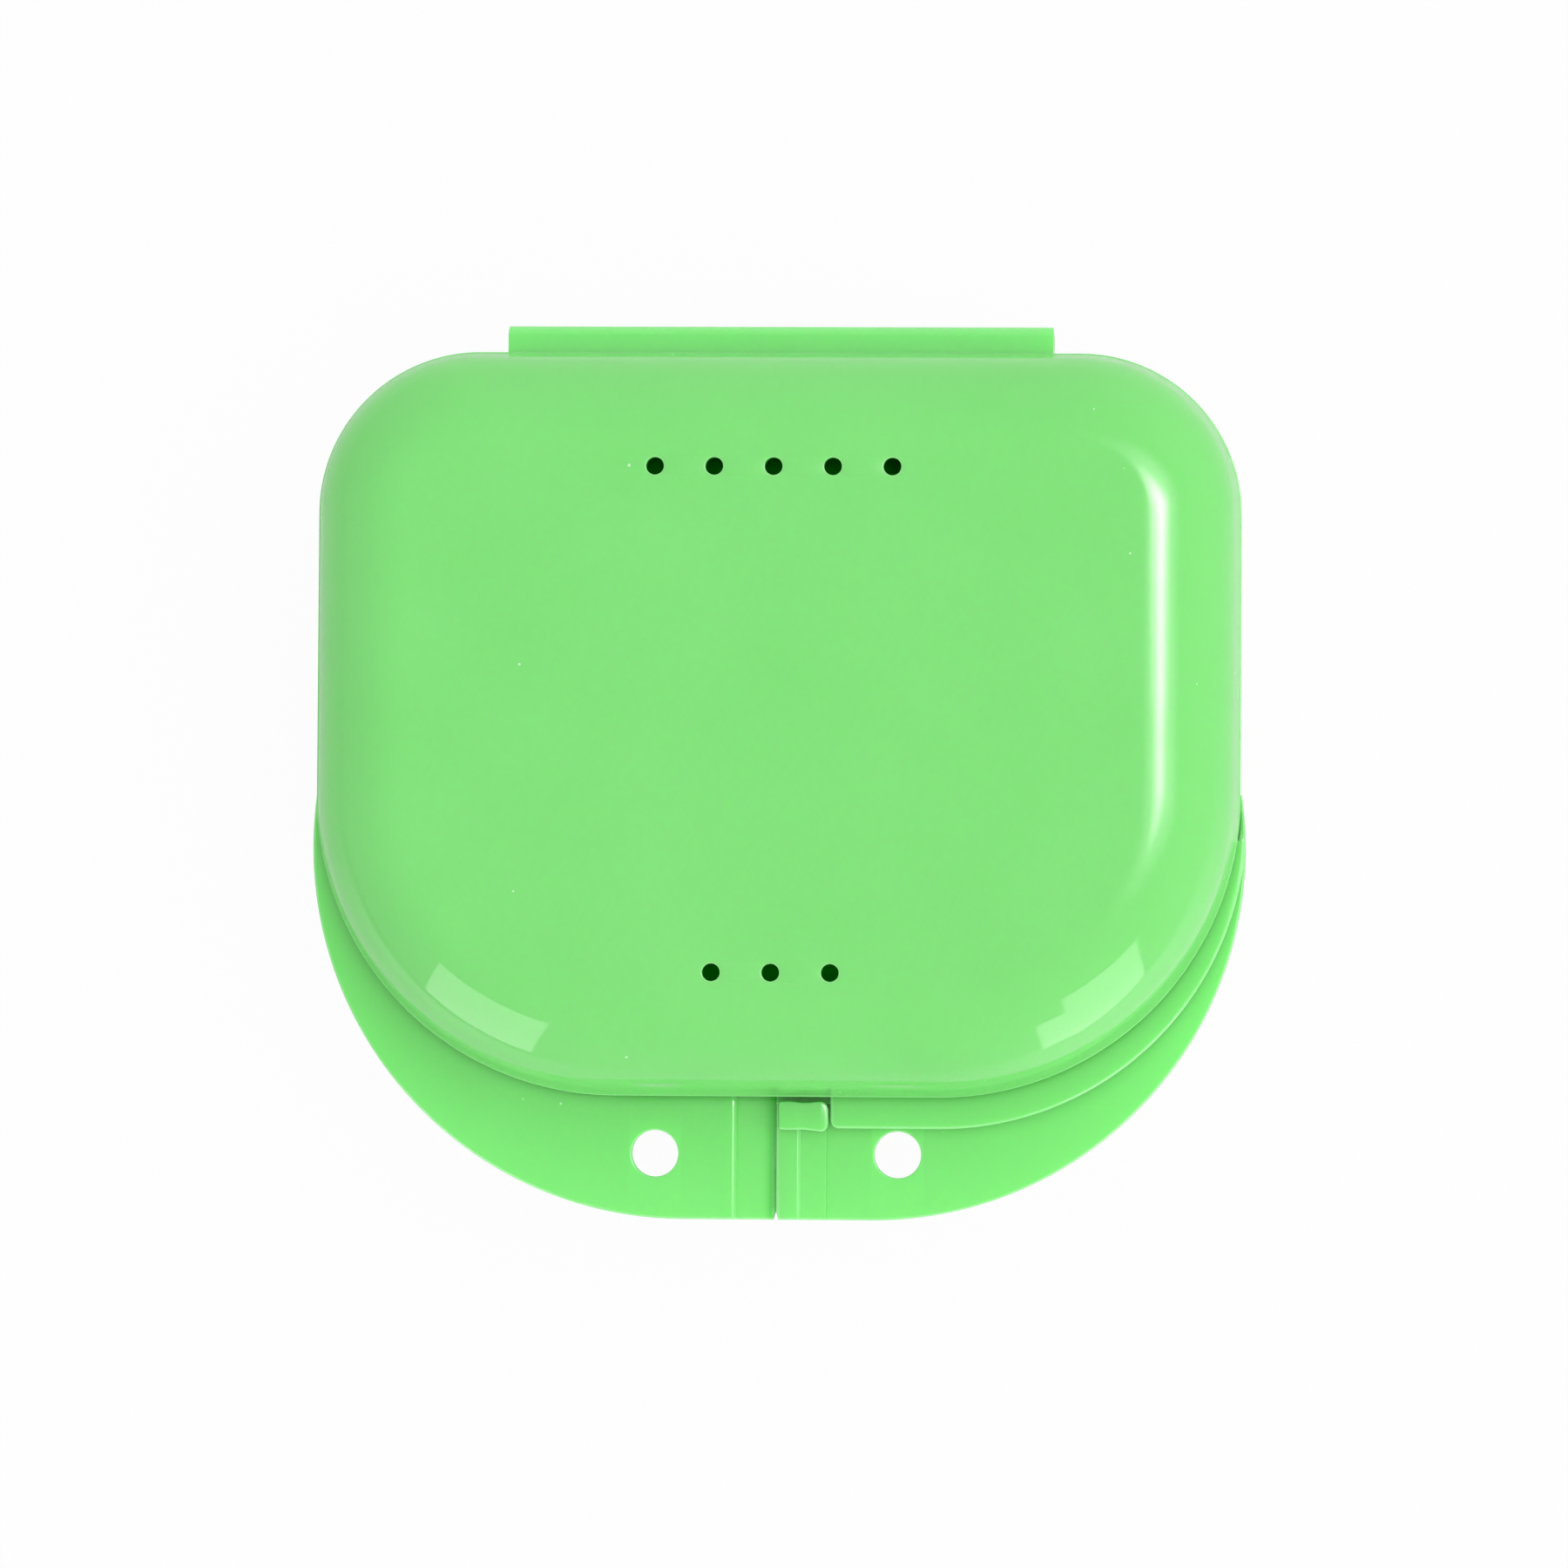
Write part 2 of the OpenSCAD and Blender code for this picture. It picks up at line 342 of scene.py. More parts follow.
def nearest_on_rim(point):
    """Point of the rim's front left quarter that is nearest to a point outside it."""
    if point.x > -FRONT_CX:
        return Vector((point.x, RIM_FRONT))
    if point.y > FRONT_CY:
        return Vector((-RIM_HW, point.y))
    centre = Vector((-FRONT_CX, FRONT_CY))
    return centre + (point - centre).normalized() * FRONT_R


def flange_edge():
    """Points along the outer edge of the left flange, from its tip to the split."""
    tip = 180 - math.degrees(math.asin((FLANGE_BACK - FLANK_CY) / FLANK_R))
    points = arc(-FLANK_CX, FLANK_CY, FLANK_R, tip, 270, 2 * FRONT_STEPS)
    xs = set(spread(-FLANK_CX, -SPLIT_HALF - SPLIT_EDGE_R, SIDE_STEPS)[1:])
    for middle, width, steps in ((PAD_X, PAD_RAMP, PAD_STEPS), (RIDGE_X, RIDGE_RAMP, RIDGE_STEPS)):
        reach = width / 2 + width / steps
        xs |= set(spread(middle - reach, middle + reach, steps + 2))
    xs |= set(spread(STRIP_X, STRIP_X + STRIP_RUN, 2 * ROUND_STEPS))
    xs |= set(spread(-SPLIT_HALF - SPLIT_SHADE_W, -SPLIT_HALF - NOTCH_W, ROUND_STEPS))
    turn = [math.sin(math.radians(a)) for a in spread(0, 90, ROUND_STEPS)]
    xs |= {-SPLIT_HALF - SPLIT_EDGE_R * (1 - t) for t in turn}
    for x in sorted(xs):
        notch = NOTCH_D * max(0, 1 - (-SPLIT_HALF - x) / NOTCH_W)
        points.append((x, FLANGE_FRONT + notch))
    return [Vector(p) for p in points]


def creased_root(rim_point, outer, high):
    """Inner part of a section's top, which drops into a crease at the land."""
    out = (outer - rim_point).normalized()
    width = min(CREASE_W, (outer - rim_point).length / 3)
    low = high - CREASE_D * width / CREASE_W
    return [(*(rim_point - out * BITE), low), (*rim_point, low), (*(rim_point + out * width), high)]


def rounded_end(rim_point, outer, low, high, radius):
    """Outer part of a section from its top to its bottom, with both of its outer edges rounded."""
    out = (outer - rim_point).normalized()
    radius = min(radius, (outer - rim_point).length * ROUND_SHARE, (high - low) * ROUND_SHARE)
    centre = outer - out * radius
    points = arc(0, high - radius, radius, 90, 0, ROUND_STEPS)
    points += arc(0, low + radius, radius, 0, -90, ROUND_STEPS)
    return [(*(centre + out * along), z) for along, z in points]


def flange(bm):
    """Left flange: a plate with a thinned strip, a pad under it, and a root that meets the land."""
    sections = []
    for outer in flange_edge():
        rim_point = nearest_on_rim(outer)
        out = (outer - rim_point).normalized()
        past_split = edge_drop(-SPLIT_HALF - outer.x, SPLIT_EDGE_R)
        along_strip = min(max(outer.x - STRIP_X, 0), STRIP_RUN)
        high = FLANGE_Z - edge_drop(STRIP_R - along_strip, STRIP_R)
        low = -FLANGE_Z - (PAD_Z - FLANGE_Z) * smooth_step(outer.x, PAD_X, PAD_RAMP)
        low += past_split - RIDGE_T * smooth_step(outer.x, RIDGE_X, RIDGE_RAMP)
        tail = smooth_step(outer.y, FLANGE_BACK - TIP_RELIEF, TIP_RELIEF) if outer.x < -FLANK_CX else 0
        low += (LAND_Z - low) * tail
        bitten = rim_point - out * BITE
        clear = rim_point + out * min(LAND_GAP, (outer - rim_point).length / 2)
        section = creased_root(rim_point, outer, high)
        section += rounded_end(rim_point, outer, low, high, FLANGE_EDGE_R)
        section += [(*clear, low), (*clear, ROOT_Z), (*bitten, ROOT_Z)]
        sections.append(section)
    tube(bm, sections)


def ring_hole(bm):
    """Cutter for the key ring hole, flared where the edges of the hole are rounded."""
    mouth = FLANGE_Z + HAIR
    levels = arc(RING_HOLE_R + HOLE_EDGE_R, mouth - HOLE_EDGE_R, HOLE_EDGE_R, 90, 180, ROUND_STEPS)
    levels.insert(0, (RING_HOLE_R + HOLE_EDGE_R, mouth + BITE))
    levels += [(r, -z) for r, z in reversed(levels)]
    y = RIM_FRONT - RING_HOLE_REACH
    points = [arc(RING_HOLE_X, y, r, 0, 360, HOLE_STEPS)[:-1] for r, z in levels]
    tube(bm, [[(px, py, z) for px, py in ring] for ring, (r, z) in zip(points, levels)])


def lip(bm):
    """Lip on the right, over the other half's flange, with a rounded end beside the catch."""
    front = RIM_FRONT - LIP_REACH
    corner = arc(LIP_END_X + LIP_END_R, front + LIP_END_R, LIP_END_R, 180, 270, 2 * ROUND_STEPS)
    tail = math.degrees(math.asin((RIM_FRONT + LIP_RUN - LIP_CY) / LIP_R))
    edge = corner + arc(LIP_CX, LIP_CY, LIP_R, -90, tail, FRONT_STEPS)
    sections = []
    for point in edge:
        outer = Vector((-point[0], point[1]))
        rim_point = nearest_on_rim(outer)
        bitten = rim_point - (outer - rim_point).normalized() * BITE
        drop = edge_drop(point[0] - LIP_END_X, LIP_EDGE_R)
        section = creased_root(rim_point, outer, LIP_TOP - drop)
        section += rounded_end(rim_point, outer, LIP_Z, LIP_TOP - drop, LIP_EDGE_R)
        section.append((*bitten, LIP_Z))
        sections.append([(-x, y, z) for x, y, z in section])
    tube(bm, sections)


def keeper(bm):
    """Small ledge in the notch beside the lip, sloping on top, which the other half's catch holds."""
    front = catch_high.y - NOSE_HOLD
    root = RIM_FRONT + BITE
    low = PAD_Z + KEEPER_GAP
    middle = front + KEEPER_EDGE_R
    section = arc(middle, low + KEEPER_T - KEEPER_EDGE_R, KEEPER_EDGE_R, 90, 180, ROUND_STEPS)
    section += arc(middle, low + KEEPER_EDGE_R, KEEPER_EDGE_R, 180, 270, ROUND_STEPS)
    section += [(root, low), (root, low + KEEPER_ROOT), (RIM_FRONT, low + KEEPER_ROOT)]
    tube(bm, [[(x, y, z) for y, z in section] for x in (2 * SPLIT_HALF, LIP_END_X + BITE)])


def catch(bm):
    """Catch that stands on the right flange, as a softened hook with a nose over the keeper."""
    front, back = catch_low.y, catch_high.y
    left, right = catch_low.x, catch_high.x
    nose_z = CATCH_TOP - NOSE_T
    post_back = back - NOSE_HOLD - KEEPER_GAP
    turn = [1 - math.cos(math.radians(a)) for a in spread(0, 90, 2 * ROUND_STEPS)]
    xs = [left + CATCH_EDGE_R * t for t in turn]
    xs += spread(left + CATCH_EDGE_R, right - CATCH_CORNER_R, SIDE_STEPS)[1:-1]
    xs += [right - CATCH_CORNER_R * t for t in reversed(turn)]
    sections = []
    for x in xs:
        end_drop = edge_drop(x - left, CATCH_EDGE_R) + edge_drop(right - x, CATCH_EDGE_R)
        corner = edge_drop(right - x, CATCH_CORNER_R) + edge_drop(x - left, CATCH_EDGE_R)
        bulge = CATCH_LUMP * math.sin((x - left) * SIDE_LUMP_WAVE) - CATCH_LUMP
        top = CATCH_TOP - end_drop - CATCH_LUMP * (1 + math.sin((x - left) * TOP_LUMP_WAVE)) / 2
        skew = CATCH_SKEW * (1 - smooth_step(x, (left + right) / 2, right - left))
        near = front + corner - bulge + skew
        far = back - corner + bulge
        radius = min(CATCH_EDGE_R, (top - nose_z) * ROUND_SHARE, (far - near) * ROUND_SHARE)
        low = CATCH_Z + end_drop / 2
        heel = min(post_back, far - CATCH_LUMP)
        section = arc(far - radius, top - radius, radius, 0, 90, ROUND_STEPS)
        section += arc(near + radius, top - radius, radius, 90, 180, ROUND_STEPS)
        section += arc(near + radius, low + radius, radius, 180, 270, ROUND_STEPS)
        section += [(heel, low), (heel, nose_z), (far, nose_z)]
        sections.append([(x, y, z) for y, z in section])
    tube(bm, sections)


def fold(bm):
    """Upper half of the strap with its leaf: a flat band that turns down behind the rim."""
    sections = []
    turn = [math.sin(math.radians(a)) for a in spread(0, 90, ROUND_STEPS)]
    ends = [STRAP_HW - STRAP_EDGE_R * (1 - t) for t in turn]
    inner_y = STRAP_REAR - STRAP_T
    inner_z = LEAF_TOP - STRAP_T
    for x in [-e for e in reversed(ends)] + ends:
        drop = edge_drop(STRAP_HW - abs(x), STRAP_EDGE_R)
        outer = arc(inner_y, inner_z, STRAP_T - drop, 90, 0, 4 * ROUND_STEPS)
        corner_y = inner_y + drop - FOLD_INNER_R
        corner_z = inner_z + drop - FOLD_INNER_R
        inner = arc(corner_y, corner_z, FOLD_INNER_R, 0, 90, ROUND_STEPS)
        levels = spread(inner_z, 0, ROUND_STEPS)[1:]
        leaf = spread(inner_y, RIM_REAR - BITE, ROUND_STEPS)[1:]
        section = outer + [(STRAP_REAR - drop, z) for z in levels]
        section += [(inner_y + drop, z) for z in reversed(levels[1:])] + inner
        section += [(y, inner_z + drop) for y in leaf[1:]]
        section += [(y, LEAF_TOP - drop) for y in reversed(leaf)]
        narrow = 1 - STRAP_TAPER / STRAP_HW
        taper = [narrow + (1 - narrow) * smooth_step(-y, -FOLD_Y, STRAP_T) for y, z in section]
        sections.append([(x * t, y, z) for t, (y, z) in zip(taper, section)])
    tube(bm, sections)


def combine(target, tool, operation):
    """Joins a tool to the target, or cuts it out, and removes the tool."""
    modifier = target.modifiers.new("combine", "BOOLEAN")
    modifier.object = tool
    modifier.operation = operation
    modifier.solver = "MANIFOLD"
    graph = bpy.context.evaluated_depsgraph_get()
    mesh = bpy.data.meshes.new_from_object(target.evaluated_get(graph))
    target.modifiers.clear()
    target.data = mesh
    bpy.data.objects.remove(tool)


# How far large faces outweigh small ones in the shading
FACE_WEIGHT = 60

# Steepest turn that is still shaded as one smooth surface, and the turns that count as a worn edge with
# a painted highlight
SHARP_TURN = math.radians(32)
EDGE_TURN_LOW = math.radians(10)
EDGE_TURN_HIGH = math.radians(17)

# Share of a folding band's depth over which a painted highlight pales its rear edge
FOLD_HIGHLIGHT_RUN = 0.8

# How much painted glow pales the flanges, and over what distance from the rim it grows
FLANGE_GLOW = 0.4
FLANGE_GLOW_RUN = 4.0


def keep(mesh, name, values):
    """Stores a value for each vertex, for the material."""
    mesh.attributes.new(name, "FLOAT", "POINT").data.foreach_set("value", values)


def outside_rim(point):
    """How far a point lies outside the front and the sides of the rim, in millimetres."""
    across = max(abs(point.x / MM) - FRONT_CX, 0)
    along = max(FRONT_CY - point.y / MM, 0)
    return max(math.hypot(across, along) - FRONT_R, 0)


def split_shade_at(point):
    """How much painted shade a point on the upper side of a flange gets beside the split."""
    along = point.x / MM if point.z > HALF_H * MM else -point.x / MM
    if along > 0 or point.y > RIM_FRONT * MM:
        return 0
    return beside_split(along)


def mark_edges(mesh):
    """Keeps on each vertex if it lies on a small convex edge, how much painted glow it gets on a
    flange, and how much painted shade beside the split.
    """
    bm = bmesh.new()
    bm.from_mesh(mesh)
    values = []
    for vert in bm.verts:
        turns = [e.calc_face_angle_signed(0) for e in vert.link_edges]
        turn = max((t for t in turns if t < SHARP_TURN), default=0)
        rise = (turn - EDGE_TURN_LOW) / (EDGE_TURN_HIGH - EDGE_TURN_LOW)
        values.append(min(max(rise, 0), 1))
    bm.free()
    # Worn convex edges, which also carry a painted highlight
    keep(mesh, "edge", values)
    # Painted glow that pales the flanges outward from the rim, standing in for light through thin
    # plastic
    keep(mesh, "thin_glow", [FLANGE_GLOW * min(outside_rim(v.co) / FLANGE_GLOW_RUN, 1) for v in mesh.vertices])
    # Painted shade beside the split
    keep(mesh, "split_shade", [split_shade_at(v.co) for v in mesh.vertices])


def mark_fold(mesh):
    """Keeps on each vertex of a folding band its full painted glow, and how much painted highlight
    pales its rear edge.
    """
    depth = [(v.co.y / MM - RIM_REAR) / (STRAP_REAR - RIM_REAR) for v in mesh.vertices]
    fold_highlight = [smooth_step(d, 1, FOLD_HIGHLIGHT_RUN) for d in depth]
    # Painted highlight that pales the fold's rear edge
    keep(mesh, "edge", fold_highlight)
    # Painted glow over the whole strap
    keep(mesh, "thin_glow", [1.0] * len(depth))


def finish_piece(obj, turned_over, material, mark=mark_edges):
    """Moves a half's form to its place in the case, in metres, and sets its shading and material."""
    place = Matrix.Translation((0, 0, HALF_H * MM)) @ Matrix.Scale(MM, 4)
    if turned_over:
        place = place @ Matrix.Rotation(math.pi, 4, "Y")
    mesh = obj.data
    mesh.transform(place)
    mark(mesh)
    mesh.shade_smooth()
    mesh.set_sharp_from_angle(angle=SHARP_TURN)
    mesh.materials.clear()
    mesh.materials.append(material)
    weighted = obj.modifiers.new("weighted", "WEIGHTED_NORMAL")
    weighted.keep_sharp = True
    weighted.weight = FACE_WEIGHT
    return obj


def make_half(name, vented):
    """One moulded half: its shell with the flange, lip and keeper joined on and the ring hole cut."""
    half = make_mesh(name, lambda bm: shell(bm, vented))
    for build in (flange, lip, keeper):
        combine(half, make_mesh("tool", build), "UNION")
    combine(half, make_mesh("tool", ring_hole), "DIFFERENCE")
    return half


class Graph:
    """Shader nodes of a material, light or world, with short ways to add and join them."""

    def __init__(self, owner):
        owner.use_nodes = True
        self.nodes = owner.node_tree.nodes
        self.links = owner.node_tree.links

    def feed(self, socket, source):
        """Joins an output to a socket, or sets the socket to a value."""
        if isinstance(source, bpy.types.NodeSocket):
            self.links.new(source, socket)
        else:
            socket.default_value = source

    def attribute(self, name):
        """Value that a mesh keeps on its vertices."""
        node = self.nodes.new("ShaderNodeAttribute")
        node.attribute_name = name
        return node.outputs["Fac"]

    def noise(self, vector, scale, detail):
        """Soft random pattern."""
        node = self.nodes.new("ShaderNodeTexNoise")
        for name, source in (("Vector", vector), ("Scale", scale), ("Detail", detail)):
            self.feed(node.inputs[name], source)
        return node.outputs["Fac"]

    def remap(self, value, low, high, to_low, to_high):
        """Value moved from one range to another, and held inside it."""
        node = self.nodes.new("ShaderNodeMapRange")
        names = ("Value", "From Min", "From Max", "To Min", "To Max")
        for name, source in zip(names, (value, low, high, to_low, to_high)):
            self.feed(node.inputs[name], source)
        return node.outputs["Result"]

    def mix(self, factor, first, second):
        """Colour between two others."""
        node = self.nodes.new("ShaderNodeMix")
        node.data_type = "RGBA"
        for name, source in (("A", first), ("B", second)):
            self.feed([s for s in node.inputs if s.name == name and s.type == "RGBA"][0], source)
        self.feed(node.inputs["Factor"], factor)
        return [s for s in node.outputs if s.type == "RGBA"][0]

    def apply(self, kind, operation, sources):
        """Outputs of a new node that applies an operation to some sources."""
        node = self.nodes.new(kind)
        node.operation = operation
        for socket, source in zip(node.inputs, sources):
            self.feed(socket, source)
        return node.outputs

    def math(self, operation, *sources):
        """Result of an operation on numbers."""
        return self.apply("ShaderNodeMath", operation, sources)["Value"]

    def vector(self, operation, *sources):
        """Outputs of an operation on vectors."""
        return self.apply("ShaderNodeVectorMath", operation, sources)

    def bump(self, height, distance, normal=None):
        """Normal of a surface that a height pattern raises by a distance."""
        node = self.nodes.new("ShaderNodeBump")
        self.feed(node.inputs["Height"], height)
        self.feed(node.inputs["Distance"], distance)
        if normal is not None:
            self.feed(node.inputs["Normal"], normal)
        return node.outputs["Normal"]


# Plastic: the colour of its flats, and its shifts over mottled areas, painted shade in crevices,
# painted glow on thin parts, painted shade beside the split, worn edges with a painted highlight, and
# dust
PLASTIC = (0.226, 0.765, 0.197, 1)
PLASTIC_DEEP = (0.212, 0.745, 0.184, 1)
PLASTIC_CREVICE_SHADE = (0.05, 0.40, 0.045, 1)
PLASTIC_THIN_GLOW = (0.255, 0.98, 0.235, 1)
PLASTIC_SPLIT_SHADE = (0.01, 0.62, 0.01, 1)
PLASTIC_WORN_EDGE_AND_HIGHLIGHT = (0.36, 0.92, 0.35, 1)
DUST = (0.62, 0.93, 0.58, 1)

# Plastic: how it bends light, how much light passes under its surface and how far, by colour, in metres
PLASTIC_IOR = 1.49
UNDER_SHARE = 0.7
UNDER_RATIO = (0.4, 1.0, 0.35)
UNDER_REACH = 0.002

# Noises: scale and detail
MOTTLE_NOISE = (70, 3)
EDGE_MARK_NOISE = (900, 2)
SMUDGE_NOISE = (160, 4)
SCRATCH_NOISE = (5200, 1)
WAVE_NOISE = (120, 1)
GRAIN_NOISE = (3500, 2)

# Ranges: the part of a pattern that counts, and what it becomes
MOTTLE_RANGE = (0.3, 0.7, 0, 1)
EDGE_MARK_RANGE = (0.35, 0.65, 0.5, 0.75)
CREVICE_SHADE_RANGE = (0.3, 0.95, 0.4, 0)
SPECK_RANGE = (0.55, 1, 0, 0.045)
SMUDGE_RANGE = (0.4, 0.7, 0.05, 0.09)
SCRATCH_RANGE = (0.72, 0.78, 0, 1)
WALL_RANGE = (0.1, 0.5, 0.16, 0)

# Painted shade in crevices: how far off a facing surface still darkens them, in metres
CREVICE_SHADE_REACH = 0.0015
CREVICE_SHADE_SAMPLES = 8

# Dust specks: cells that may hold one, how well they cover, and what they add to the roughness
SPECK_SCALE = 330
SPECK_COVER = 0.8
SPECK_ROUGH = 0.3

# Scratches: how they are drawn out and turned, and what they add to the roughness
SCRATCH_STRETCH = (1, 0.04, 1)
SCRATCH_TURN = (0, 0, 0.5)
SCRATCH_ROUGH = 0.08

# Heights of the slow waves, the grain and the specks of the surface, in metres
WAVE_H = 0.00003
GRAIN_H = 0.0000015
SPECK_H = 0.00003


def dust_specks(graph, coords):
    """1 on small round specks in some of the cells of a random pattern, 0 elsewhere."""
    cells = graph.nodes.new("ShaderNodeTexVoronoi")
    graph.feed(cells.inputs["Scale"], SPECK_SCALE)
    graph.feed(cells.inputs["Vector"], coords)
    chance = graph.nodes.new("ShaderNodeSeparateColor")
    graph.feed(chance.inputs["Color"], cells.outputs["Color"])
    size = graph.remap(chance.outputs["Red"], *SPECK_RANGE)
    return graph.math("LESS_THAN", cells.outputs["Distance"], size)


def plastic_colour(graph, coords, speck):
    """Mottled green, with painted shade in crevices and beside the split, painted glow where thin, worn
    edges with a painted highlight, and dust.
    """
    # Ambient occlusion that drives the painted shade in crevices and creases
    crevice_shade = graph.nodes.new("ShaderNodeAmbientOcclusion")
    crevice_shade.samples = CREVICE_SHADE_SAMPLES
    graph.feed(crevice_shade.inputs["Distance"], CREVICE_SHADE_REACH)
    edge_mark = graph.remap(graph.noise(coords, *EDGE_MARK_NOISE), *EDGE_MARK_RANGE)
    mottle = graph.remap(graph.noise(coords, *MOTTLE_NOISE), *MOTTLE_RANGE)
    colour = graph.mix(mottle, PLASTIC_DEEP, PLASTIC)
    shifts = (
        # Painted shade: darker green where ambient occlusion finds surfaces close by
        (graph.remap(crevice_shade.outputs["AO"], *CREVICE_SHADE_RANGE), PLASTIC_CREVICE_SHADE),
        # Painted glow: paler green on the flanges and the strap
        (graph.attribute("thin_glow"), PLASTIC_THIN_GLOW),
        # Painted shade: darker, denser green beside the split
        (graph.attribute("split_shade"), PLASTIC_SPLIT_SHADE),
        # Worn edges with a painted highlight: paler green on convex edges, broken up by noise
        (graph.math("MULTIPLY", graph.attribute("edge"), edge_mark), PLASTIC_WORN_EDGE_AND_HIGHLIGHT),
        (graph.math("MULTIPLY", speck, SPECK_COVER), DUST),
    )
    for factor, shifted in shifts:
        colour = graph.mix(factor, colour, shifted)
    return colour


def plastic_roughness(graph, texture, speck):
    """Smudged gloss, duller on scratches, specks and side walls."""
    coords = texture.outputs["Object"]
    stretched = graph.nodes.new("ShaderNodeMapping")
    for name, source in (("Vector", coords), ("Scale", SCRATCH_STRETCH), ("Rotation", SCRATCH_TURN)):
        graph.feed(stretched.inputs[name], source)
    scratch = graph.remap(graph.noise(stretched.outputs["Vector"], *SCRATCH_NOISE), *SCRATCH_RANGE)
    facing = graph.nodes.new("ShaderNodeSeparateXYZ")
    graph.feed(facing.inputs["Vector"], texture.outputs["Normal"])
    wall = graph.remap(graph.math("ABSOLUTE", facing.outputs["Z"]), *WALL_RANGE)
    rough = graph.remap(graph.noise(coords, *SMUDGE_NOISE), *SMUDGE_RANGE)
    rough = graph.math("ADD", rough, graph.math("MULTIPLY", scratch, SCRATCH_ROUGH))
    rough = graph.math("ADD", rough, wall)
    return graph.math("ADD", rough, graph.math("MULTIPLY", speck, SPECK_ROUGH))


def plastic_material():
    """Glossy polypropylene with light under its surface, slow waves, fine grain and raised dust."""
    material = bpy.data.materials.new("green_plastic")
    graph = Graph(material)
    texture = graph.nodes.new("ShaderNodeTexCoord")
    coords = texture.outputs["Object"]
    speck = dust_specks(graph, coords)
    normal = graph.bump(graph.noise(coords, *WAVE_NOISE), WAVE_H)
    normal = graph.bump(graph.noise(coords, *GRAIN_NOISE), GRAIN_H, normal)
    normal = graph.bump(speck, SPECK_H, normal)
    settings = (
        ("Base Color", plastic_colour(graph, coords, speck)),
        ("Roughness", plastic_roughness(graph, texture, speck)),
        ("IOR", PLASTIC_IOR),
        ("Normal", normal),
        ("Subsurface Weight", UNDER_SHARE),
        ("Subsurface Radius", UNDER_RATIO),
        ("Subsurface Scale", UNDER_REACH),
    )
    for name, source in settings:
        graph.feed(graph.nodes["Principled BSDF"].inputs[name], source)
    return material


# Camera, found from the places of the vents, ring holes and outline in the 1800 by 1800 frame
IMAGE_PX = 1800
PX_PER_MM = 13.383
CAMERA_DISTANCE = 650.0
CAMERA_TARGET = Vector((0.43, -0.935, HALF_H))
TILT_RIGHT = math.radians(2.656)
TILT_FRONT = math.radians(1.78)
ROLL = math.radians(0.38)
SENSOR_MM = 36.0
CLIP_START = 0.01


def add_camera():
    """Camera almost straight above the lid, a little from the right and the front."""
    data = bpy.data.cameras.new("camera")
    data.sensor_width = SENSOR_MM
    data.lens = SENSOR_MM * PX_PER_MM * CAMERA_DISTANCE / IMAGE_PX
    data.clip_start = CLIP_START
    back = Vector((math.sin(TILT_RIGHT), -math.sin(TILT_FRONT), 0))
    back.z = math.sqrt(1 - back.length_squared)
    right = Vector((0, 1, 0)).cross(back).normalized()
    up = back.cross(right)
    turned_right = right * math.cos(ROLL) + up * math.sin(ROLL)
    turned_up = up * math.cos(ROLL) - right * math.sin(ROLL)
    axes = Matrix((turned_right, turned_up, back)).transposed().to_4x4()
    place = Matrix.Translation((CAMERA_TARGET + back * CAMERA_DISTANCE) * MM)
    camera = bpy.data.objects.new("camera", data)
    camera.matrix_world = place @ axes
    bpy.context.scene.collection.objects.link(camera)
    bpy.context.scene.camera = camera


# Spots of the case whose gloss shows the key light and the white cards, in metres
KEY_SPOT = Vector((0.036, 0.012, 0.026))
LEFT_SPOT = Vector((-0.028, -0.022, 0.024))
RIGHT_SPOT = Vector((0.027, -0.022, 0.024))
MIDDLE = Vector((0, 0, 0.0135))

# Lights: name, the spot they are placed from, degrees round from the front to the right and up,
# distance, degrees round and up that they face away from, roll, width, height and radiance.
# The round ones are the parts of the key light and the bright table beside the front corners.
ROUND_LIGHTS = (
    ("key_front", KEY_SPOT, 92.8, 66.9, 2.0, 92.8, 66.9, 20.0, 0.40, 0.77, 6.4),
    ("key_core", KEY_SPOT, 108.3, 68.4, 2.0, 108.3, 68.4, -23.1, 0.46, 1.24, 14.0),
    ("key_halo", KEY_SPOT, 105.8, 65.0, 2.0, 105.8, 65.0, -24.2, 1.46, 2.00, 4.7),
    ("left_table", LEFT_SPOT, -45.0, -12.0, 0.11, 0.0, -90.0, 0.0, 0.20, 0.20, 0.8),
    ("right_table", RIGHT_SPOT, 48.0, -14.0, 0.09, 0.0, -90.0, 0.0, 0.20, 0.20, 0.9),
)
CARDS = (
    ("left_card", LEFT_SPOT, -32.1, 24.5, 0.05, -20.5, 12.3, -1.8, 0.036, 0.0491, 2.7),
    ("right_card", RIGHT_SPOT, 46.4, 17.0, 0.05, 10.2, 14.5, 1.9, 0.0322, 0.0515, 3.0),
    ("right_card_end", RIGHT_SPOT, 22.0, 8.8, 0.0422, 10.2, 14.5, 1.9, 0.008, 0.0315, 3.0),
)
FILLS = (
    ("front_fill", MIDDLE, 21.0, 33.0, 1.2, 21.0, 33.0, 0.0, 1.2, 0.7, 1.45),
    ("right_fill", MIDDLE, 86.0, 37.0, 1.2, 86.0, 37.0, 0.0, 1.0, 0.7, 1.6),
    ("rear_fill", MIDDLE, 173.0, 38.0, 1.2, 173.0, 38.0, 0.0, 1.2, 0.8, 1.0),
)
WORLD_STRENGTH = 0.70
WHITE = (1, 1, 1, 1)

# How steeply a round light fades toward its edge
FADE_POWER = 2

# Shares of the white surround and of the floor's own white that are seen directly, as gloss and
# through clear things
SURROUND_SEEN = (("Is Camera Ray", 1), ("Is Glossy Ray", 1), ("Is Transmission Ray", 1))
FLOOR_SEEN = (("Is Camera Ray", 0.95), ("Is Glossy Ray", 0.1), ("Is Transmission Ray", 0.95))


